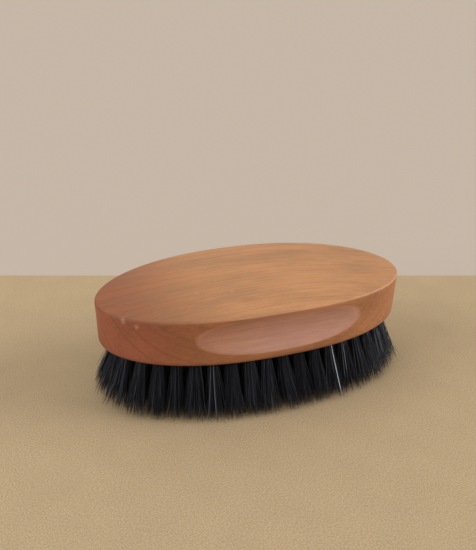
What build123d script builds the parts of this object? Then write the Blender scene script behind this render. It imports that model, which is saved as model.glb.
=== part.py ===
from build123d import *
import math
import os

# Oval clothes brush: a one-piece pearwood block, drilled from below, with a bristle tuft in every
# hole. Each tuft is a bundle of boar bristles folded in half over a wire staple, whose two legs are
# driven into the wood at the bottom of the hole.
# Origin: the middle of the face that the bristle tips make. +X runs along the brush, +Z is up.

# ---- driving dimensions, in millimetres ----
block_length = 145.0
block_width = 75.0
block_thickness = 23.4
bristle_length = 24.0  # free length, from the resting face to the block
block_draft = 0.8  # how far the block's wall leans in, from its top to its underside
crown_radius = 780.0  # the top is a shallow dome of one radius
top_edge_radius = 1.0
bottom_edge_radius = 2.5

oval_long_power = 2.28  # an oval a little fuller than an ellipse: |x/a|^2.28 + |y/b|^2 = 1
oval_cross_power = 2.0
oval_spans = 12
span_points = 4

scoop_radius = 10.6  # finger scoop: a straight round-bottomed groove along each long side
scoop_depth = 4.35
scoop_height = 36.75  # of the groove's middle line above the resting face

hole_diameter = 4.2
hole_depth = 9.0
tuft_tip_diameter = 6.2

wire_diameter = 0.8
staple_width = 2.6  # between the middles of the legs
staple_bend = 0.8
staple_crown_depth = 6.8  # of the crown above the hole's mouth: the fold fills the rest
staple_grip = 3.0  # how far the legs go into the wood past the hole's bottom

# name, inset of the ring from the block's outline, how much more at the ends, number of tufts,
# lean outwards, groups
tuft_rings = [
    ("outer_ring", 7.0, 2.0, 40, 17.0, 8),
    ("second_ring", 14.5, 1.0, 36, 11.0, 6),
    ("third_ring", 22.0, 0.0, 30, 7.0, 6),
    ("fourth_ring", 29.6, 0.0, 24, 3.5, 4),
]
middle_row_count = 11
middle_row_pitch = 7.0
middle_row_groups = 2

# ---- values worked out from them ----
half_length = block_length / 2
half_width = block_width / 2
block_bottom = bristle_length
block_top = block_bottom + block_thickness
hole_radius = hole_diameter / 2
tip_radius = tuft_tip_diameter / 2
tuft_overrun = 4.0  # how far the tufts are made past the resting face, before they are trimmed to it
groove_overrun = 10.0  # how much longer than the block the groove's cutter is
mouth_margin = 1.0  # straight length outside the mouth, because a leaning hole's mouth plane tilts


def oval_point(along, across, angle):
    """Point of an oval with the given half sizes."""
    cosine = math.cos(angle)
    sine = math.sin(angle)
    x = along * math.copysign(abs(cosine) ** (2 / oval_long_power), cosine)
    y = across * math.copysign(abs(sine) ** (2 / oval_cross_power), sine)
    return Vector(x, y)


def oval_direction(along, across, angle):
    """Direction of travel at a point of the oval, square to the gradient of its equation."""
    point = oval_point(along, across, angle)
    slope_x = oval_long_power / along * abs(point.X / along) ** (oval_long_power - 1)
    slope_y = oval_cross_power / across * abs(point.Y / across) ** (oval_cross_power - 1)
    return Vector(-math.copysign(slope_y, point.Y), math.copysign(slope_x, point.X))


def oval(along, across):
    """Closed outline of an oval, as smooth spans that meet in line."""
    turn = 2 * math.pi / oval_spans
    for span in range(oval_spans):
        points = []
        for step in range(span_points + 1):
            points.append(oval_point(along, across, (span + step / span_points) * turn))
        ends = [oval_direction(along, across, (span + end) * turn) for end in (0, 1)]
        Spline(*points, tangents=ends)


def ring_planes(inset, end_inset, count, lean):
    """Planes at the mouths of a ring's holes. Z runs up the hole, X along the ring."""
    with BuildLine() as ring:
        oval(half_length - inset - end_inset, half_width - inset)
    path = ring.wires()[0]
    planes = []
    for step in range(count):
        distance = path.length * (step + 0.5) / count
        place = path.position_at(distance, position_mode=PositionMode.LENGTH)
        along = path.tangent_at(distance, position_mode=PositionMode.LENGTH)
        inward = Vector(0, 0, 1).cross(along)
        up_the_hole = Vector(0, 0, 1) + inward * math.tan(math.radians(lean))
        mouth = Vector(place.X, place.Y, block_bottom)
        planes.append(Plane(origin=mouth, x_dir=along, z_dir=up_the_hole))
    return planes


def row_planes():
    """Planes at the mouths of the middle row's holes."""
    planes = []
    for step in range(middle_row_count):
        x = (step - (middle_row_count - 1) / 2) * middle_row_pitch
        planes.append(Plane(origin=(x, 0, block_bottom)))
    return planes


# ---- one hole, one staple and one tuft, each in the frame of its hole's mouth ----
with BuildPart() as hole_form:
    with BuildSketch(Plane.XY.offset(-mouth_margin)):
        Circle(hole_radius)
    extrude(amount=mouth_margin + hole_depth)

leg_end = hole_depth + staple_grip
with BuildPart() as staple_form:
    with BuildLine(Plane.XZ) as staple_path:
        FilletPolyline(
            (-staple_width / 2, leg_end),
            (-staple_width / 2, staple_crown_depth),
            (staple_width / 2, staple_crown_depth),
            (staple_width / 2, leg_end),
            radius=staple_bend,
        )
    with BuildSketch(staple_path.line ^ 0):
        Circle(wire_diameter / 2)
    sweep()

with BuildPart() as tuft_form:
    with BuildSketch(Plane.XY.offset(-mouth_margin)):
        Circle(hole_radius)
    with BuildSketch(Plane.XY.offset(-bristle_length - tuft_overrun)):
        Circle(tip_radius)
    loft()
    add(hole_form.part)
    add(staple_form.part, mode=Mode.SUBTRACT)

# ---- where the tufts stand ----
rings = []
for ring_name, side_inset, end_inset, ring_count, ring_lean, ring_groups in tuft_rings:
    planes = ring_planes(side_inset, end_inset, ring_count, ring_lean)
    rings.append((ring_name, planes, ring_groups))
rings.append(("middle_row", row_planes(), middle_row_groups))
all_locations = []
for _, planes, _ in rings:
    for plane in planes:
        all_locations.append(plane.location)

# ---- wooden block ----
scoop_axis = half_width - scoop_depth + scoop_radius
hole_tools = [hole_form.part.moved(place) for place in all_locations]
leg_tools = [staple_form.part.moved(place) for place in all_locations]

with BuildPart() as wooden_block:
    with BuildSketch(Plane.XY.offset(block_bottom)):
        with BuildLine():
            oval(half_length - block_draft, half_width - block_draft)
        make_face()
    with BuildSketch(Plane.XY.offset(block_top)):
        with BuildLine():
            oval(half_length, half_width)
        make_face()
    loft(ruled=True)
    with Locations((0, 0, block_top - crown_radius)):
        Sphere(crown_radius, mode=Mode.INTERSECT)
    fillet(wooden_block.faces().sort_by(Axis.Z)[-1].edges(), top_edge_radius)
    fillet(wooden_block.faces().sort_by(Axis.Z)[0].edges(), bottom_edge_radius)
    with Locations((0, scoop_axis, scoop_height), (0, -scoop_axis, scoop_height)):
        Cylinder(scoop_radius, block_length + groove_overrun, rotation=(0, 90, 0), mode=Mode.SUBTRACT)
    add(hole_tools, mode=Mode.SUBTRACT)
    add(leg_tools, mode=Mode.SUBTRACT)

wooden_block.part.label = "wooden_block"
os.makedirs("parts", exist_ok=True)
export_step(wooden_block.part, "parts/wooden_block.step")

# ---- tufts, in short runs of neighbours, and their staples, ring by ring ----
for ring_name, planes, groups in rings:
    for group in range(groups):
        first = len(planes) * group // groups
        last = len(planes) * (group + 1) // groups
        with BuildPart() as tufts:
            for plane in planes[first:last]:
                add(tuft_form.part.moved(plane.location))
            split(bisect_by=Plane.XY, keep=Keep.TOP)
        tufts_name = f"{ring_name}_tufts_{group + 1}"
        tufts.part.label = tufts_name
        export_step(tufts.part, f"parts/{tufts_name}.step")
    with BuildPart() as staples:
        for plane in planes:
            add(staple_form.part.moved(plane.location))
    staples_name = f"{ring_name}_staples"
    staples.part.label = staples_name
    export_step(staples.part, f"parts/{staples_name}.step")
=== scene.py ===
"""Oval clothes brush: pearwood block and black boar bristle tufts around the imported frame."""

import math

import bmesh
import bpy
import numpy as np
from mathutils import Matrix, Vector


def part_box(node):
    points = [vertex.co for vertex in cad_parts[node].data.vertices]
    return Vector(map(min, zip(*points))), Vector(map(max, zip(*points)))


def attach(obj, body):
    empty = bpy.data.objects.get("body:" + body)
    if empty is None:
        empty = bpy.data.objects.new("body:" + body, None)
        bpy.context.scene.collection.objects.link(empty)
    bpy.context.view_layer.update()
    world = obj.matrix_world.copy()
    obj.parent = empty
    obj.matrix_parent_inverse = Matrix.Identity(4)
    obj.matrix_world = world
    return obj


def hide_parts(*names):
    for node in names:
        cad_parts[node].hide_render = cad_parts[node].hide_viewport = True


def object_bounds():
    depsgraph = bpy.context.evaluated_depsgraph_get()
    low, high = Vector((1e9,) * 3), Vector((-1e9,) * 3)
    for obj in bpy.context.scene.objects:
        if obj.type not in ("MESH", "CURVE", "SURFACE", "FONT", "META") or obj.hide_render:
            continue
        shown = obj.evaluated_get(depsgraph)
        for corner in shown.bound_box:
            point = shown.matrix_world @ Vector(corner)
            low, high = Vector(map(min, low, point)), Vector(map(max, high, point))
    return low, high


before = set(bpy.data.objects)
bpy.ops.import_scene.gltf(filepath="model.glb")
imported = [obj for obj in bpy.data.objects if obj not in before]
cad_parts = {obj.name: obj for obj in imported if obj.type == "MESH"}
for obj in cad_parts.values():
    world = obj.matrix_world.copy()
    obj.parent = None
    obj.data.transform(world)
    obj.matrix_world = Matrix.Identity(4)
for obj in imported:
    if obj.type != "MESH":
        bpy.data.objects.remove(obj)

bl_info = {
    "name": "Oval Clothes Brush",
    "version": (1, 0, 0),
    "blender": (4, 5, 0),
    "location": "3D View > Sidebar > Clothes Brush",
    "description": "Builds the pearwood block, the bristle tufts and a studio for a clothes brush",
    "category": "Object",
}

MM = 0.001
CAD_LOW, CAD_HIGH = [Vector(corner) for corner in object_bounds()]
BLOCK_LOW, BLOCK_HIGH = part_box("wooden_block")
HAND_SEED = 20


# ---------------------------------------------------------------- settings


class BrushBlockSettings(bpy.types.PropertyGroup):
    """Sizes and colours of the pearwood block."""

    length: bpy.props.FloatProperty(
        name="Length", description="Block length at the top edge", default=0.145, unit="LENGTH"
    )
    width: bpy.props.FloatProperty(
        name="Width", description="Block width at the top edge", default=0.075, unit="LENGTH"
    )
    draft: bpy.props.FloatProperty(
        name="Draft", description="How far the wall leans in towards the underside",
        default=0.0008, unit="LENGTH",
    )
    crown_radius: bpy.props.FloatProperty(
        name="Crown radius", description="Radius of the domed top", default=0.78, unit="LENGTH"
    )
    top_edge: bpy.props.FloatProperty(
        name="Top edge", description="Rounding of the top edge",
        default=0.0010, unit="LENGTH",
    )
    bottom_edge: bpy.props.FloatProperty(
        name="Bottom edge", description="Rounding of the bottom edge",
        default=0.0025, unit="LENGTH",
    )
    scoop_radius: bpy.props.FloatProperty(
        name="Groove radius", description="Radius of the finger groove",
        default=0.0106, unit="LENGTH",
    )
    scoop_depth: bpy.props.FloatProperty(
        name="Groove depth", description="Depth of the finger groove",
        default=0.00435, unit="LENGTH",
    )
    scoop_height: bpy.props.FloatProperty(
        name="Groove height", description="Height of the groove's middle line", default=0.03675,
        unit="LENGTH",
    )
    scoop_softness: bpy.props.FloatProperty(
        name="Groove softness", description="How far the sanding has softened the groove's border",
        default=0.00030, unit="LENGTH",
    )
    heartwood: bpy.props.FloatVectorProperty(
        name="Heartwood", description="Colour of the open face of the wood", subtype="COLOR",
        size=4, min=0.0, max=1.0, default=(0.494, 0.226, 0.088, 1.0),
    )
    redwood: bpy.props.FloatVectorProperty(
        name="Red wood", description="Colour of the redder wood in the walls and at one end",
        subtype="COLOR", size=4, min=0.0, max=1.0, default=(0.295, 0.092, 0.047, 1.0),
    )
    sanded: bpy.props.FloatVectorProperty(
        name="Sanded wood", description="Colour of the dry, sanded wood in the finger grooves",
        subtype="COLOR", size=4, min=0.0, max=1.0, default=(0.540, 0.278, 0.198, 1.0),
    )


class BrushBristleSettings(bpy.types.PropertyGroup):
    """How the tufts are filled and how the bristles fall."""

    bristles: bpy.props.IntProperty(
        name="Bristles", description="Bristle ends in each tuft", default=180, min=8, max=400
    )
    thickness: bpy.props.FloatProperty(
        name="Thickness", description="Diameter of a bristle at its root", default=0.00026,
        unit="LENGTH",
    )
    root_radius: bpy.props.FloatProperty(
        name="Root radius", description="Radius of a tuft where it leaves the wood",
        default=0.0020, unit="LENGTH",
    )
    tip_radius: bpy.props.FloatProperty(
        name="Tip radius", description="Usual radius of a tuft at its tips", default=0.0052,
        unit="LENGTH",
    )
    black: bpy.props.FloatVectorProperty(
        name="Bristle black", description="Colour of the black bristles", subtype="COLOR",
        size=4, min=0.0, max=1.0, default=(0.0036, 0.0036, 0.0056, 1.0),
    )
    # the greyer bristles, partly painted sheen streaks, and the split ends also blend towards this
    # colour
    pale: bpy.props.FloatVectorProperty(
        name="Pale bristle", description="Colour of the few undyed bristles", subtype="COLOR",
        size=4, min=0.0, max=1.0, default=(0.78, 0.81, 0.90, 1.0),
    )


class BrushStudioSettings(bpy.types.PropertyGroup):
    """Floor, backdrop, lights and camera."""

    floor_colour: bpy.props.FloatVectorProperty(
        name="Floor", description="Colour of the floor", subtype="COLOR", size=4,
        min=0.0, max=1.0, default=(0.500, 0.366, 0.216, 1.0),
    )
    wall_colour: bpy.props.FloatVectorProperty(
        name="Backdrop", description="Colour of the backdrop", subtype="COLOR", size=4,
        min=0.0, max=1.0, default=(0.555, 0.463, 0.378, 1.0),
    )
    sheet_edge: bpy.props.FloatProperty(
        name="Paper edge", description="From the middle of the brush to the paper's far edge",
        default=0.104, unit="LENGTH",
    )
    light: bpy.props.FloatProperty(
        name="Key light", description="Strength of the wide lamp on the right", default=2.1
    )
    fill: bpy.props.FloatProperty(
        name="Fill light", description="Strength of the wide lamp on the left", default=1.45
    )
    air: bpy.props.FloatProperty(
        name="Air light", description="Strength of the light from all round", default=0.50
    )
    back: bpy.props.FloatProperty(
        name="Back light", description="Strength of the soft lamp behind the brush", default=0.42
    )
    heading: bpy.props.FloatProperty(
        name="Heading", description="Camera's heading from +Y towards +X", subtype="ANGLE",
        default=math.radians(19.24),
    )
    pitch: bpy.props.FloatProperty(
        name="Pitch", description="How far the camera looks down", subtype="ANGLE",
        default=math.radians(24.16),
    )
    camera_side: bpy.props.FloatProperty(
        name="Camera side", description="Camera's place to the right of the brush's middle",
        default=-0.0224, unit="LENGTH",
    )
    camera_distance: bpy.props.FloatProperty(
        name="Camera distance", description="Camera's place in front of the brush's middle",
        default=0.300, unit="LENGTH",
    )
    camera_height: bpy.props.FloatProperty(
        name="Camera height", description="Camera's height above the floor", default=0.1816,
        unit="LENGTH",
    )
    lens: bpy.props.FloatProperty(
        name="Lens", description="Focal length in millimetres", default=47.27, unit="CAMERA"
    )
    shift: bpy.props.FloatProperty(
        name="Shift", description="Sideways shift of the picture", default=0.0636
    )


# ---------------------------------------------------------------- shader maths


class Wire:
    """A node socket that adds Math nodes when it is used in an expression."""

    def __init__(self, tree, socket):
        self.tree = tree
        self.socket = socket

    def node(self, kind, settings=None, out=0, **values):
        """Add a node. Settings come first, then the values or links of its named sockets."""
        made = self.tree.nodes.new(kind)
        for name, value in (settings or {}).items():
            setattr(made, name, value)
        for name, value in values.items():
            numbered = name[0] == "i" and name[1:].isdigit()
            target = made.inputs[int(name[1:]) if numbered else name.replace("_", " ")]
            if isinstance(value, Wire):
                self.tree.links.new(value.socket, target)
            else:
                target.default_value = value
        return Wire(self.tree, made.outputs[out])

    def math(self, operation, *others, clamp=False):
        """One Math node on this wire and up to two more values."""
        values = {"i0": self}
        for index, other in enumerate(others):
            values[f"i{index + 1}"] = other
        return self.node("ShaderNodeMath", {"operation": operation, "use_clamp": clamp}, **values)

    def swapped(self, operation, other):
        """One Math node with this wire as its second value."""
        return self.node("ShaderNodeMath", {"operation": operation}, i0=other, i1=self)

    def __add__(self, other):
        return self.math("ADD", other)

    def __radd__(self, other):
        return self.math("ADD", other)

    def __sub__(self, other):
        return self.math("SUBTRACT", other)

    def __rsub__(self, other):
        return self.swapped("SUBTRACT", other)

    def __mul__(self, other):
        return self.math("MULTIPLY", other)

    def __rmul__(self, other):
        return self.math("MULTIPLY", other)

    def __pow__(self, other):
        return self.math("POWER", other)

    def __abs__(self):
        return self.math("ABSOLUTE")

    def named(self, name):
        """Set which attribute an Attribute node reads."""
        self.socket.node.attribute_name = name
        return self

    def step(self, low, high):
        """Smooth rise from 0 at low to 1 at high."""
        return self.node(
            "ShaderNodeMapRange", {"interpolation_type": "SMOOTHSTEP"},
            Value=self, From_Min=low, From_Max=high,
        )

    def fall(self, low, high):
        """Smooth drop from 1 at low to 0 at high."""
        return self.node(
            "ShaderNodeMapRange", {"interpolation_type": "SMOOTHSTEP"},
            Value=self, From_Min=low, From_Max=high, To_Min=1.0, To_Max=0.0,
        )

    def noise(self, scale, detail=3.0, roughness=0.5, stretch=(1, 1, 1), shift=(0, 0, 0)):
        """Noise value along this vector, stretched and moved first."""
        placed = self.node(
            "ShaderNodeMapping", {"vector_type": "POINT"}, Vector=self, Scale=stretch,
            Location=shift,
        )
        return self.node(
            "ShaderNodeTexNoise", {"noise_dimensions": "3D"}, Vector=placed, Scale=scale,
            Detail=detail, Roughness=roughness,
        )

    def blend(self, first, second, mode="MIX"):
        """Mix two colours by this wire."""
        made = self.tree.nodes.new("ShaderNodeMix")
        made.data_type = "RGBA"
        made.blend_type = mode
        self.tree.links.new(self.socket, made.inputs[0])
        for index, value in ((6, first), (7, second)):
            if isinstance(value, Wire):
                self.tree.links.new(value.socket, made.inputs[index])
            else:
                made.inputs[index].default_value = value
        return Wire(self.tree, made.outputs[2])


def new_material(name, **constants):
    """A Principled material with its constant values set on the shader's own sockets."""
    material = bpy.data.materials.new(name)
    material.use_nodes = True
    shader = material.node_tree.nodes["Principled BSDF"]
    for socket, value in constants.items():
        shader.inputs[socket.replace("_", " ")].default_value = value
    return material, material.node_tree, shader


def feed(tree, shader, **wires):
    """Link wires to the shader's named sockets."""
    for socket, wire in wires.items():
        tree.links.new(wire.socket, shader.inputs[socket.replace("_", " ")])


def object_place(tree):
    """The object's own coordinates, as a vector wire."""
    return Wire(tree, tree.nodes.new("ShaderNodeTexCoord").outputs["Object"])


def split_place(place):
    """X, Y and Z of a vector wire."""
    made = place.tree.nodes.new("ShaderNodeSeparateXYZ")
    place.tree.links.new(place.socket, made.inputs[0])
    return [Wire(place.tree, made.outputs[axis]) for axis in range(3)]


def own_value(tree, name):
    """A value that the mesh carries at each vertex."""
    return Wire(tree, tree.nodes.new("ShaderNodeAttribute").outputs["Fac"]).named(name)


def bump(height, strength, distance):
    """Bump from a height wire."""
    return height.node("ShaderNodeBump", Height=height, Strength=strength, Distance=distance)


# ---------------------------------------------------------------- block


OVAL_LONG_POWER = 2.28
OVAL_CROSS_POWER = 2.0
GRAIN_TURN = 2.2  # per metre: how much the grain bends towards -Y in the +X half
NARROW_BANDS = 2700.0  # radians of growth band per metre across the sheets of wood
WIDE_BANDS = 1150.0
TOP_REDNESS = (0.95, 0.92, 0.62, 1.0)  # what the red end of the top keeps of the red wood's colour
BORDER_HIGHLIGHT_WIDTH = 0.55  # millimetres of groove depth on either side of its border that get a painted highlight line


def pearwood(settings):
    """Sanded and waxed pearwood: grain along X, growth bands, redder walls and -X end, a paler top
    edge (partly wear, partly painted highlight) and a painted highlight along the grooves'
    borders.
    """
    material, tree, shader = new_material("pearwood", Specular_IOR_Level=0.26)
    straight = object_place(tree)
    x, y, z = split_place(straight)
    # band along the top edge's rounding: painted paler there, partly real wear and partly a
    # painted highlight
    worn_edge = own_value(tree, "worn_edge")
    wall = own_value(tree, "wall")
    depth = groove_depth(x, z, settings)
    groove = depth.step(-0.10, 0.42)
    # the groove's border, where a painted highlight line goes
    border = abs(depth).fall(0.0, BORDER_HIGHLIGHT_WIDTH)
    turned = x.math("MAXIMUM", 0.0) ** 2.0 * GRAIN_TURN
    place = x.node("ShaderNodeCombineXYZ", X=x, Y=y + turned, Z=z)

    # growth bands: sheets that follow the grain, wander a little and rise towards +Y
    drift = place.noise(22.0, 2.0, 0.5, (0.30, 1.0, 1.0)) * 0.010
    sheet = (y + turned) * 0.78 - z * 0.62 + drift
    wobble = place.noise(90.0, 2.0, 0.5, (0.15, 1.0, 1.0)) * 2.2
    bands = (sheet * NARROW_BANDS + wobble).math("SINE") * 0.5 + 0.5
    rings = (sheet * WIDE_BANDS + wobble * 0.6).math("SINE") * 0.5 + 0.5
    # fibres: fine streaks along the grain, and pores cut open by the sanding
    streaks = place.noise(1000.0, 3.0, 0.6, (0.030, 1.0, 1.0))
    fibres = place.noise(3200.0, 2.0, 0.6, (0.022, 1.0, 1.0), (3.0, 1.0, 2.0))
    mottle = place.noise(70.0, 3.0, 0.55, (0.45, 1.0, 1.0), (7.0, 3.0, 1.0))
    speckle = place.noise(2600.0, 1.0, 0.5, (0.5, 1.0, 1.0), (1.0, 5.0, 2.0))
    tone = streaks * 0.30 + fibres * 0.20 + mottle * 0.35 + speckle * 0.15

    light, dark = shades(settings.heartwood, 1.19), shades(settings.heartwood, 0.77)
    colour = tone.step(0.38, 0.62).blend(dark, light)
    late = shades(settings.heartwood, 0.66)
    colour = (bands.step(0.55, 1.0) * rings * 0.30).blend(colour, late)
    # redder wood at the -X end and in the walls, less so on the lip above the groove
    reach = x * -1.0 + mottle * 0.030 + streaks * 0.020
    end = reach.step(0.038, 0.096)
    light, dark = shades(settings.redwood, 1.24), shades(settings.redwood, 0.80)
    red_tone = tone.step(0.38, 0.62).blend(dark, light)
    late = shades(settings.redwood, 0.66)
    red_tone = (bands.step(0.5, 1.0) * rings * 0.42).blend(red_tone, late)
    red_tone = (1.0 - wall).blend(red_tone, TOP_REDNESS, "MULTIPLY")
    lip = z.step(0.0425, 0.0460) * (1.0 - end) * 0.75
    side = wall * (1.0 - lip) * (0.48 + end * 0.52)
    red = (side + end * 0.94 * (1.0 - wall)).math("MINIMUM", 1.0)
    colour = red.blend(colour, red_tone)
    # dry sanded wood in the grooves, more of it from the middle to the +X end
    scrub = place.noise(420.0, 3.0, 0.6, (0.25, 1.0, 1.0), (2.0, 8.0, 5.0))
    light, dark = shades(settings.sanded, 1.14), shades(settings.sanded, 0.88)
    dry = tone.step(0.36, 0.64).blend(dark, light)
    sanding = x.step(-0.045, 0.004) * 0.62 + 0.38
    colour = (groove * sanding * (0.74 + scrub * 0.34)).blend(colour, dry)
    # the top edge painted paler, partly rubbed by hands and partly a painted highlight, a painted
    # highlight line along the groove's border, the top edge darker at the red end, and the knocks
    rubbed_and_highlight = worn_edge * (1.0 - end) * (0.30 + scrub * 0.30) + border * wall * 0.30
    colour = rubbed_and_highlight.blend(colour, shades(settings.sanded, 1.30))
    # the top edge darker at the red end
    darker_end_rim = worn_edge * end * 0.60
    colour = darker_end_rim.blend(colour, shades(settings.redwood, 0.55))
    colour = dents(straight).blend(colour, shades(settings.sanded, 1.45))

    feed(tree, shader, Base_Color=colour)
    feed(tree, shader, Roughness=0.44 + groove * 0.14 + mottle * 0.16)
    feed(tree, shader, Normal=bump(fibres * 0.6 + streaks * 0.4, 0.35, 0.06 * MM))
    return material


def groove_depth(x, z, settings):
    """Depth of the finger groove below the block's wall, in millimetres, from X and Z."""
    radius = settings.scoop_radius
    axis = settings.width / 2 - settings.scoop_depth + radius
    share = (abs(x) * (2.0 / settings.length)) ** OVAL_LONG_POWER
    outline = (1.0 - share).math("MAXIMUM", 0.0).math("SQRT") * (settings.width / 2)
    up = z - settings.scoop_height
    floor = axis - (radius * radius - up * up).math("MAXIMUM", 0.0).math("SQRT")
    return (outline - floor) * (1 / MM)


def shades(colour, factor):
    """The same colour, lighter or darker."""
    return tuple(min(1.0, channel * factor) for channel in colour[:3]) + (1.0,)


# middle of each small pale knock in the wood, and its radius
DENTS = (
    ((-0.0648, -0.0178, 0.0436), 0.0019),
    ((-0.0600, -0.0221, 0.0420), 0.0015),
    ((-0.0150, -0.0131, 0.0472), 0.0013),
    ((-0.0300, -0.0090, 0.0468), 0.0008),
)
DENT_PALENESS = 0.28


def dents(place):
    """How pale the small knocks make the wood: 0 away from them."""
    total = None
    ragged = place.noise(1400.0, 2.0, 0.6) - 0.5
    for middle, radius in DENTS:
        away = place.node(
            "ShaderNodeVectorMath", {"operation": "DISTANCE"}, out=1, i0=place, i1=middle
        )
        spot = (away + ragged * (radius * 1.4)).fall(radius * 0.2, radius) * DENT_PALENESS
        total = spot if total is None else total + spot
    return total


class BRUSH_OT_block(bpy.types.Operator):
    """Model the pearwood block with its two finger grooves"""

    bl_idname = "brush.block"
    bl_label = "Wooden Block"

    def execute(self, context):
        settings = context.scene.brush_block
        mesh = bpy.data.meshes.new("pearwood_block")
        bm = bmesh.new()
        shape_block(bm, settings)
        bm.to_mesh(mesh)
        bm.free()
        block = bpy.data.objects.new("pearwood_block", mesh)
        context.collection.objects.link(block)
        mesh.shade_smooth()
        mesh.materials.append(pearwood(settings))
        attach(block, "root")
        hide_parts("wooden_block")
        return {"FINISHED"}


OVAL_SEGMENTS = 640
WALL_ROWS = 76
EDGE_SEGMENTS = 7
BORDER_REACH = 8  # how many times its softness the groove's softened border reaches


def shape_block(bm, settings):
    """A round blank, drawn out to the oval, with rounded edges, a domed top and the grooves."""
    top = BLOCK_HIGH.z
    bottom = BLOCK_LOW.z
    middle = (top + bottom) / 2
    bmesh.ops.create_circle(bm, cap_ends=True, segments=OVAL_SEGMENTS, radius=1.0)
    for vert in bm.verts:
        vert.co = oval_point(math.atan2(vert.co.y, vert.co.x), settings)
        vert.co.z = bottom
    lid = bmesh.ops.extrude_face_region(bm, geom=bm.faces[:], use_keep_orig=True)["geom"]
    lifted = [item for item in lid if isinstance(item, bmesh.types.BMVert)]
    bmesh.ops.translate(bm, vec=(0, 0, top - bottom), verts=lifted)
    for vert in set(bm.verts) - set(lifted):
        vert.co.xy *= 1 - settings.draft / vert.co.xy.length
    bmesh.ops.recalc_face_normals(bm, faces=bm.faces)
    for above, offset in ((True, settings.top_edge), (False, settings.bottom_edge)):
        rim = [edge for edge in bm.edges if all((v.co.z > middle) == above for v in edge.verts)]
        bmesh.ops.bevel(
            bm, geom=rim, offset=offset, offset_type="OFFSET", affect="EDGES",
            segments=EDGE_SEGMENTS, profile=0.5, material=-1, clamp_overlap=True,
        )
    upright = [edge for edge in bm.edges if edge_rise(edge) > middle - bottom]
    bmesh.ops.subdivide_edges(bm, edges=upright, cuts=WALL_ROWS, use_grid_fill=True)
    fill_lid(bm, max(bm.faces, key=lambda face: face.calc_center_median().z))
    mark_top_edge(bm, settings)
    crown = settings.crown_radius
    for vert in bm.verts:
        drop = crown - math.sqrt(crown ** 2 - vert.co.xy.length_squared)
        vert.co.z -= drop * smooth_rise((vert.co.z - middle) / (top - middle))
    carve_grooves(bm, settings)
    bmesh.ops.recalc_face_normals(bm, faces=bm.faces)


def oval_point(angle, settings):
    """Point of the block's oval outline."""
    cosine, sine = math.cos(angle), math.sin(angle)
    x = settings.length / 2 * math.copysign(abs(cosine) ** (2 / OVAL_LONG_POWER), cosine)
    y = settings.width / 2 * math.copysign(abs(sine) ** (2 / OVAL_CROSS_POWER), sine)
    return Vector((x, y, 0.0))


def smooth_rise(share):
    """0 below 0, 1 above 1 and a smooth rise between."""
    share = min(1.0, max(0.0, share))
    return share * share * (3 - 2 * share)


def edge_rise(edge):
    """How far an edge climbs."""
    return abs(edge.verts[0].co.z - edge.verts[1].co.z)


def fill_lid(bm, lid):
    """Replace the flat lid with a grid of small faces between its two long sides."""
    rim = list(lid.edges)
    bmesh.ops.delete(bm, geom=[lid], context="FACES_ONLY")
    sides = []
    for edge in rim:
        middle = (edge.verts[0].co + edge.verts[1].co) / 2
        angle = math.atan2(middle.y / BLOCK_HIGH.y, middle.x / BLOCK_HIGH.x)
        if math.pi / 4 < abs(angle) < math.pi * 3 / 4:
            sides.append(edge)
    bmesh.ops.grid_fill(bm, edges=sides, use_interp_simple=True)


def mark_top_edge(bm, settings):
    """Mark the top edge's rounding, which the finish paints paler (partly wear, partly a painted
    highlight), and the walls below it, for the finish.
    """
    edge_band = bm.verts.layers.float.new("worn_edge")
    wall = bm.verts.layers.float.new("wall")
    start = BLOCK_HIGH.z - settings.top_edge
    for vert in bm.verts:
        share = (vert.co.z - start) / settings.top_edge
        vert[edge_band] = math.sin(math.pi * min(1.0, max(0.0, share))) ** 2
        vert[wall] = 1 - smooth_rise((share - 0.1) / 0.9)


def carve_grooves(bm, settings):
    """Press the straight round-bottomed grooves into both long walls, with softened edges."""
    radius = settings.scoop_radius
    axis = settings.width / 2 - settings.scoop_depth + radius
    soft = settings.scoop_softness
    for vert in bm.verts:
        up = vert.co.z - settings.scoop_height
        if abs(up) >= radius:
            continue
        floor = axis - math.sqrt(radius * radius - up * up)
        depth = abs(vert.co.y) - floor
        if depth < -BORDER_REACH * soft:
            continue
        # smooth minimum of the wall and the groove's floor
        pressed = 0.5 * (depth + math.hypot(depth, 2 * soft))
        vert.co.y -= math.copysign(pressed, vert.co.y)


# ---------------------------------------------------------------- tufts


BRISTLE_SIDES = 3
BRISTLE_JOINTS = 5
BLANK_RADIUS = 0.1  # of a straight bristle of unit height, before it is drawn thin
ROOT_DEPTH = 1.5 * MM  # how far inside its hole a bristle starts
WELD = 0.01 * MM
AT_FLOOR = 0.1 * MM
AT_MOUTH = 2.0 * MM
STRANDS = 9  # in each tuft
STRAND_PULL = 0.30
UPRIGHT_LEAN = 0.2 * MM  # a tuft that leans less than this has no outward side
STRAY_SHARE, STRAY_BEND = 0.030, 1.6 * MM
WILD_SHARE, WILD_BEND = 0.0006, 4.5 * MM
CLIPPED_SHARE, CLIPPED_SHORT = 0.16, (0.3, 2.2)  # millimetres short of the resting face
BROKEN_SHARE, BROKEN_SHORT = 0.06, (2.0, 8.0)
TIP_TAPER = 0.30
SPLIT_SHARE, SPLIT_PALENESS = 0.30, (0.02, 0.48)
SPLIT_START = 0.86  # share of a bristle's length where its split end begins
UNDYED_REACH = 2.0 * MM
UNDYED_WIDTH = 1.5  # how much wider than its neighbours an undyed bristle is
# bristles whose random rank is above the first number have a paleness between the other two:
# partly greyer bristles, partly painted sheen streaks
GREYER_AND_SHEEN_BRISTLES = ((0.80, (0.015, 0.055)), (0.955, (0.06, 0.19)), (0.9990, (0.2, 0.5)))
# a place on each undyed bristle, and how pale it is
UNDYED = (
    ((0.0262, -0.0340, 0.0212), 1.00),
    ((0.0389, -0.0320, 0.0140), 0.20),
    ((-0.0650, -0.0150, 0.0190), 0.40),
)


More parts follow.
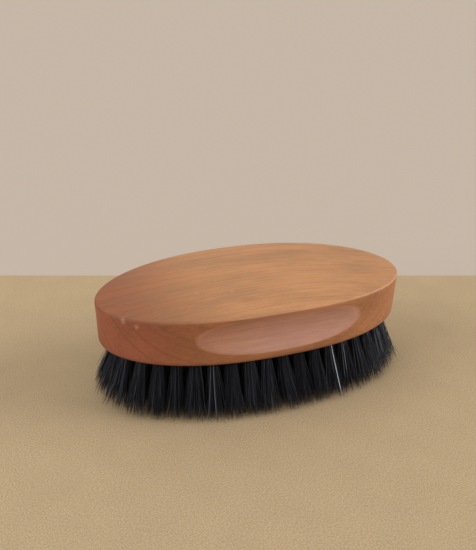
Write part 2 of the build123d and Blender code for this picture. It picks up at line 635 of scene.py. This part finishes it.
def tuft_axes(node):
    """Where each tuft of a CAD node leaves the wood and where its tips' middle is."""
    bm = bmesh.new()
    bm.from_mesh(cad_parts[node].data)
    bmesh.ops.remove_doubles(bm, verts=bm.verts, dist=WELD)
    left = set(bm.verts)
    axes = []
    while left:
        tuft = [left.pop()]
        for vert in tuft:
            near = {edge.other_vert(vert) for edge in vert.link_edges} & left
            left -= near
            tuft.extend(near)
        tips = [vert.co for vert in tuft if vert.co.z < CAD_LOW.z + AT_FLOOR]
        neck = [vert.co for vert in tuft if abs(vert.co.z - BLOCK_LOW.z) < AT_MOUTH]
        tip = sum(tips, Vector()) / len(tips)
        mouth = sum(neck, Vector()) / len(neck)
        mouth += (mouth - tip) * ((BLOCK_LOW.z - mouth.z) / (mouth.z - tip.z))
        axes.append((mouth, tip))
    bm.free()
    return sorted(axes, key=lambda axis: tuple(axis[0]))


def straight_bristles(bm, count):
    """Straight, upright bristles of unit height in a row along X, one unit apart."""
    bmesh.ops.create_circle(bm, cap_ends=True, segments=BRISTLE_SIDES, radius=BLANK_RADIUS)
    edges = bm.edges[:]
    for _ in range(BRISTLE_JOINTS):
        grown = bmesh.ops.extrude_edge_only(bm, edges=edges)["geom"]
        verts = [item for item in grown if isinstance(item, bmesh.types.BMVert)]
        fresh = set(verts)
        edges = [item for item in grown
                 if isinstance(item, bmesh.types.BMEdge) and fresh.issuperset(item.verts)]
        bmesh.ops.translate(bm, vec=(0, 0, 1 / BRISTLE_JOINTS), verts=verts)
    bmesh.ops.pointmerge(bm, verts=verts, merge_co=(0.0, 0.0, 1.0))
    bmesh.ops.recalc_face_normals(bm, faces=bm.faces)
    made = 1
    while made < count:
        copies = bmesh.ops.duplicate(bm, geom=bm.verts[:] + bm.edges[:] + bm.faces[:])["geom"]
        copied = [item for item in copies if isinstance(item, bmesh.types.BMVert)]
        bmesh.ops.translate(bm, vec=(made, 0, 0), verts=copied)
        made *= 2
    spare = [vert for vert in bm.verts if vert.co.x > count - 0.5]
    bmesh.ops.delete(bm, geom=spare, context="VERTS")


def outward_ways(axes):
    """Mouths, axes, leans, and the outward and sideways directions of tufts, as arrays."""
    mouths = np.array([tuple(mouth) for mouth, _ in axes])
    runs = np.array([tuple(tip) for _, tip in axes]) - mouths
    leaning = np.hypot(runs[:, 0], runs[:, 1])
    upright = (leaning <= UPRIGHT_LEAN)[:, None]
    flat = np.where(upright, (0.0, 1.0), runs[:, :2] / np.maximum(leaning, MM)[:, None])
    outward = np.column_stack([flat, np.zeros(len(axes))])
    outward /= np.linalg.norm(outward, axis=1)[:, None]
    sideways = np.column_stack([-outward[:, 1], outward[:, 0], outward[:, 2]])
    return mouths, runs, leaning, outward, sideways


def comb_into_holes(mesh, axes, settings, rng):
    """Move a row of straight bristles into their holes, fan them out, bend and trim them."""
    straight = np.zeros(len(mesh.vertices) * 3, np.float32)
    mesh.vertices.foreach_get("co", straight)
    straight = straight.reshape(-1, 3).astype(float)
    number = np.rint(straight[:, 0]).astype(int)
    across = (straight[:, 0] - number) / BLANK_RADIUS
    up = straight[:, 1] / BLANK_RADIUS
    t = straight[:, 2]
    total = len(axes) * settings.bristles
    tuft = np.arange(total) // settings.bristles
    mouths, runs, leaning, outward, sideways = outward_ways(axes)

    # where each bristle leaves its hole, and how its bundle opens towards the tips
    spread = np.sqrt(rng.uniform(0.0, 1.0, total))
    turn = rng.uniform(0.0, 2 * math.pi, total)
    opening = settings.tip_radius / settings.root_radius - 1.0
    opening = opening * rng.normal(1.0, 0.12, len(axes))[tuft]
    opening = opening * np.clip(rng.normal(1.0, 0.34, total), 0.15, 2.2)
    lean_way = rng.normal(0.0, 0.55 * MM, (len(axes), 2))[tuft]
    bend = rng.normal(0.0, 0.40 * MM, (total, 2)) + lean_way
    # the long sides' bristles have splayed further out with use than those at the ends
    bend[:, 1] += (leaning * (0.02 + 0.20 * outward[:, 1] ** 2))[tuft]
    for share, size in ((STRAY_SHARE, STRAY_BEND), (WILD_SHARE, WILD_BEND)):
        chosen = rng.uniform(0.0, 1.0, total) < share
        bend[chosen] += rng.normal(0.0, size, (total, 2))[chosen]
    curl = rng.normal(0.0, 0.16 * MM, (total, 2))
    short = np.abs(rng.normal(0.0, 0.30 * MM, total))
    for share, lengths in ((CLIPPED_SHARE, CLIPPED_SHORT), (BROKEN_SHARE, BROKEN_SHORT)):
        chosen = rng.uniform(0.0, 1.0, total) < share
        short[chosen] += rng.uniform(*lengths, total)[chosen] * MM
    # bristles that lean out reach the floor at a slant, so the outside of a tuft ends higher
    outer = np.clip(spread * np.sin(turn), 0.0, 1.0)
    short += outer * np.minimum(leaning[tuft] * 0.08, 0.5 * MM)

    # neighbours cling together in strands, more and more towards the tips
    spot = np.column_stack([spread * np.cos(turn), spread * np.sin(turn)])
    strands = rng.uniform(-0.95, 0.95, (len(axes), STRANDS, 2))[tuft]
    nearest = np.linalg.norm(strands - spot[:, None, :], axis=2).argmin(axis=1)
    pull = (strands[np.arange(total), nearest] - spot) * STRAND_PULL

    radius = settings.root_radius * (1.0 + opening[number] * t ** 1.2)
    pulled = spot[number] + pull[number] * (t ** 1.5)[:, None]
    off_axis = radius[:, None] * pulled + bend[number] * (t ** 2)[:, None]
    off_axis += curl[number] * np.sin(math.pi * t)[:, None]
    root = BLOCK_LOW.z + ROOT_DEPTH
    height = root + (CAD_LOW.z + short[number] - root) * t
    drop = (BLOCK_LOW.z - height) / (BLOCK_LOW.z - CAD_LOW.z)
    owner = tuft[number]
    side_way, out_way = sideways[owner], outward[owner]
    centre = mouths[owner] + runs[owner] * drop[:, None]
    centre += side_way * off_axis[:, :1] + out_way * off_axis[:, 1:]
    centre[:, 2] = height

    undyed = undyed_bristles(centre, number)
    width = rng.uniform(0.75, 1.2, total)
    width[list(undyed)] *= UNDYED_WIDTH
    thick = settings.thickness / 2 * width[number] * (1.0 - TIP_TAPER * t ** 2)
    combed = centre + out_way * (up * thick)[:, None] + side_way * (across * thick)[:, None]
    mesh.vertices.foreach_set("co", combed.astype(np.float32).ravel())

    layer = mesh.attributes.new("tone", "FLOAT", "POINT")
    layer.data.foreach_set("value", bristle_tones(number, t, undyed, rng).astype(np.float32))
    mesh.update()


def undyed_bristles(centre, number):
    """Numbers of the bristles that pass the undyed ones' places, each with its paleness."""
    found = {}
    for place, paleness in UNDYED:
        away = np.linalg.norm(centre - np.array(place), axis=1)
        if away.min() < UNDYED_REACH:
            found[number[away.argmin()]] = paleness
    return found


def bristle_tones(number, t, undyed, rng):
    """Paleness of each point of the bristles: a few greyer (partly painted sheen streaks) or
    undyed, some with pale ends.
    """
    total = number.max() + 1
    tone = np.clip(rng.normal(0.004, 0.010, total), 0.0, 1.0)
    rank = rng.uniform(0.0, 1.0, total)
    # greyer bristles: partly real grey hairs, partly painted sheen streaks
    for above, paleness in GREYER_AND_SHEEN_BRISTLES:
        tone = np.where(rank > above, rng.uniform(*paleness, total), tone)
    for bristle, paleness in undyed.items():
        tone[bristle] = paleness
    split = rng.uniform(0.0, 1.0, total) < SPLIT_SHARE
    ends = np.where(split, rng.uniform(*SPLIT_PALENESS, total), 0.0)
    return tone[number] + ends[number] * np.clip((t - SPLIT_START) / (1 - SPLIT_START), 0.0, 1.0)


def boar_bristle(settings):
    """Black boar bristle with a soft cool sheen, some bristles painted paler as sheen streaks,
    paler where its ends have split.
    """
    material, tree, shader = new_material(
        "boar_bristle", Specular_IOR_Level=0.50, Specular_Tint=(0.78, 0.82, 1.0, 1.0)
    )
    tone = own_value(tree, "tone")
    feed(tree, shader, Base_Color=tone.blend(tuple(settings.black), tuple(settings.pale)))
    feed(tree, shader, Roughness=0.34 + object_place(tree).noise(900.0, 1.0, 0.5) * 0.16)
    return material


class BRUSH_OT_tufts(bpy.types.Operator):
    """Fill every drilled hole with its tuft of bristles"""

    bl_idname = "brush.tufts"
    bl_label = "Bristle Tufts"

    def execute(self, context):
        settings = context.scene.brush_bristle
        material = boar_bristle(settings)
        tuft_nodes = [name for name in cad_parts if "_tufts_" in name]
        for number, node in enumerate(tuft_nodes):
            axes = tuft_axes(node)
            mesh = bpy.data.meshes.new(f"bristles_{node}")
            bm = bmesh.new()
            straight_bristles(bm, len(axes) * settings.bristles)
            bm.to_mesh(mesh)
            bm.free()
            comb_into_holes(mesh, axes, settings, np.random.default_rng(HAND_SEED + number))
            mesh.shade_smooth()
            mesh.materials.append(material)
            piece = bpy.data.objects.new(f"bristles_{node}", mesh)
            context.collection.objects.link(piece)
            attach(piece, "root")
            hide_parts(node)
        return {"FINISHED"}


# ---------------------------------------------------------------- staples


def drawn_wire():
    """Bright drawn steel wire, with faint lines from the die."""
    material, tree, shader = new_material("staple_wire", Metallic=1.0)
    place = object_place(tree)
    marks = place.noise(3000.0, 2.0, 0.5, (1.0, 1.0, 0.2))
    feed(tree, shader, Roughness=marks * 0.2 + 0.25)
    feed(tree, shader, Base_Color=marks.blend((0.50, 0.50, 0.49, 1.0), (0.64, 0.64, 0.62, 1.0)))
    return material


class BRUSH_OT_staples(bpy.types.Operator):
    """Give the wire staples inside the block their bright steel"""

    bl_idname = "brush.staples"
    bl_label = "Wire Staples"

    def execute(self, context):
        material = drawn_wire()
        for name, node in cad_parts.items():
            if name.endswith("_staples"):
                for slot in node.material_slots:
                    slot.material = material
        return {"FINISHED"}


# ---------------------------------------------------------------- stage


def plain_sheet(name, width, heading, low, high, height):
    """A flat sheet seen from above, turned to the camera's heading, between two distances."""
    mesh = bpy.data.meshes.new(name)
    bm = bmesh.new()
    bmesh.ops.create_grid(bm, x_segments=1, y_segments=1, size=0.5)
    bmesh.ops.scale(bm, vec=(width, high - low, 1.0), verts=bm.verts)
    bmesh.ops.translate(bm, vec=(0.0, (high + low) / 2, height), verts=bm.verts)
    bmesh.ops.rotate(bm, matrix=Matrix.Rotation(-heading, 3, "Z"), verts=bm.verts)
    bm.to_mesh(mesh)
    bm.free()
    sheet = bpy.data.objects.new(name, mesh)
    bpy.context.collection.objects.link(sheet)
    return sheet


def paper(name, colour, speckle):
    """Matt paper with fine speckle."""
    material, tree, shader = new_material(name, Roughness=0.9, Specular_IOR_Level=0.0)
    place = object_place(tree)
    grain = place.noise(1600.0, 3.0, 0.8)
    cloud = place.noise(60.0, 2.0, 0.5)
    shade = grain.step(0.30, 0.70) * 0.8 + cloud * 0.2
    light, dark = shades(colour, 1 + speckle), shades(colour, 1 - speckle)
    feed(tree, shader, Base_Color=shade.blend(dark, light))
    return material


# name, its strength's setting, spread, bearing clockwise from straight ahead, height, in degrees
LAMPS = (
    ("key_light", "light", 38.0, 88.0, 20.0),
    ("fill_light", "fill", 48.0, -110.0, 25.0),
    ("back_light", "back", 64.0, -8.0, 48.0),
)
PAPER_WIDTH = 6.0
PAPER_NEAR_EDGE = -1.2
FLOOR_REACH = 10.0
FLOOR_HEIGHT = -0.6 * MM  # just under the paper


def wide_light(name, strength, spread, bearing, height):
    """A very wide soft light. Bearing is from +Y towards +X, height is above the horizon."""
    lamp = bpy.data.lights.new(name, "SUN")
    lamp.energy = strength
    lamp.angle = spread
    light = bpy.data.objects.new(name, lamp)
    flat = math.cos(height)
    source = Vector((math.sin(bearing) * flat, math.cos(bearing) * flat, math.sin(height)))
    light.rotation_mode = "QUATERNION"
    light.rotation_quaternion = source.to_track_quat("Z", "Y")
    bpy.context.collection.objects.link(light)


class BRUSH_OT_studio(bpy.types.Operator):
    """Lay out the floor, the paper, the lights and the camera"""

    bl_idname = "brush.studio"
    bl_label = "Studio"

    def execute(self, context):
        settings = context.scene.brush_studio
        heading = settings.heading
        floor = plain_sheet(
            "studio_floor", 2 * FLOOR_REACH, heading, -FLOOR_REACH, FLOOR_REACH, FLOOR_HEIGHT
        )
        floor.data.materials.append(paper("pale_floor", settings.wall_colour, 0.03))
        sheet = plain_sheet(
            "paper_sheet", PAPER_WIDTH, heading, PAPER_NEAR_EDGE, settings.sheet_edge, 0.0
        )
        sheet.data.materials.append(paper("kraft_paper", settings.floor_colour, 0.30))
        for name, strength, spread, bearing, height in LAMPS:
            wide_light(name, getattr(settings, strength), math.radians(spread),
                       heading + math.radians(bearing), math.radians(height))
        world = bpy.data.worlds.new("studio_air")
        world.use_nodes = True
        air = world.node_tree.nodes["Background"]
        air.inputs["Color"].default_value = (0.98, 0.99, 1.0, 1.0)
        air.inputs["Strength"].default_value = settings.air
        # what shows past the floor's edge is as pale as the floor, and lights nothing
        seen = Wire(world.node_tree, world.node_tree.nodes.new("ShaderNodeLightPath").outputs[0])
        sky = seen.node("ShaderNodeBackground", Color=tuple(settings.wall_colour), Strength=1.0)
        lit = Wire(world.node_tree, air.outputs[0])
        both = seen.node("ShaderNodeMixShader", i0=seen, i1=lit, i2=sky)
        feed(world.node_tree, world.node_tree.nodes["World Output"], Surface=both)
        context.scene.world = world
        context.scene.view_settings.view_transform = "Standard"

        lens = bpy.data.cameras.new("camera")
        lens.sensor_width = 36.0
        lens.lens = settings.lens
        lens.shift_x = settings.shift
        lens.clip_start = 0.01
        camera = bpy.data.objects.new("camera", lens)
        side = Vector((math.cos(heading), -math.sin(heading), 0.0))
        ahead = Vector((math.sin(heading), math.cos(heading), 0.0))
        camera.location = side * settings.camera_side - ahead * settings.camera_distance
        camera.location.z = settings.camera_height
        camera.rotation_euler = (math.pi / 2 - settings.pitch, 0.0, -heading)
        context.collection.objects.link(camera)
        context.scene.camera = camera
        return {"FINISHED"}


# ---------------------------------------------------------------- the run


class BRUSH_PT_panel(bpy.types.Panel):
    """Buttons for each piece of the brush"""

    bl_idname = "BRUSH_PT_panel"
    bl_label = "Clothes Brush"
    bl_space_type = "VIEW_3D"
    bl_region_type = "UI"
    bl_category = "Clothes Brush"

    def draw(self, context):
        layout = self.layout
        for operator in OPERATORS:
            layout.operator(operator.bl_idname)
        for settings in (context.scene.brush_block, context.scene.brush_bristle,
                         context.scene.brush_studio):
            box = layout.box()
            for name in settings.__annotations__:
                box.prop(settings, name)


OPERATORS = (BRUSH_OT_block, BRUSH_OT_tufts, BRUSH_OT_staples, BRUSH_OT_studio)
SETTINGS = (
    ("brush_block", BrushBlockSettings),
    ("brush_bristle", BrushBristleSettings),
    ("brush_studio", BrushStudioSettings),
)


def register():
    for name, settings in SETTINGS:
        bpy.utils.register_class(settings)
        setattr(bpy.types.Scene, name, bpy.props.PointerProperty(type=settings))
    for operator in OPERATORS:
        bpy.utils.register_class(operator)
    bpy.utils.register_class(BRUSH_PT_panel)


def unregister():
    bpy.utils.unregister_class(BRUSH_PT_panel)
    for operator in reversed(OPERATORS):
        bpy.utils.unregister_class(operator)
    for name, settings in reversed(SETTINGS):
        delattr(bpy.types.Scene, name)
        bpy.utils.unregister_class(settings)


def main():
    register()
    bpy.ops.brush.block()
    bpy.ops.brush.tufts()
    bpy.ops.brush.staples()
    bpy.ops.brush.studio()
    bpy.context.view_layer.update()


if __name__ == "__main__":
    main()
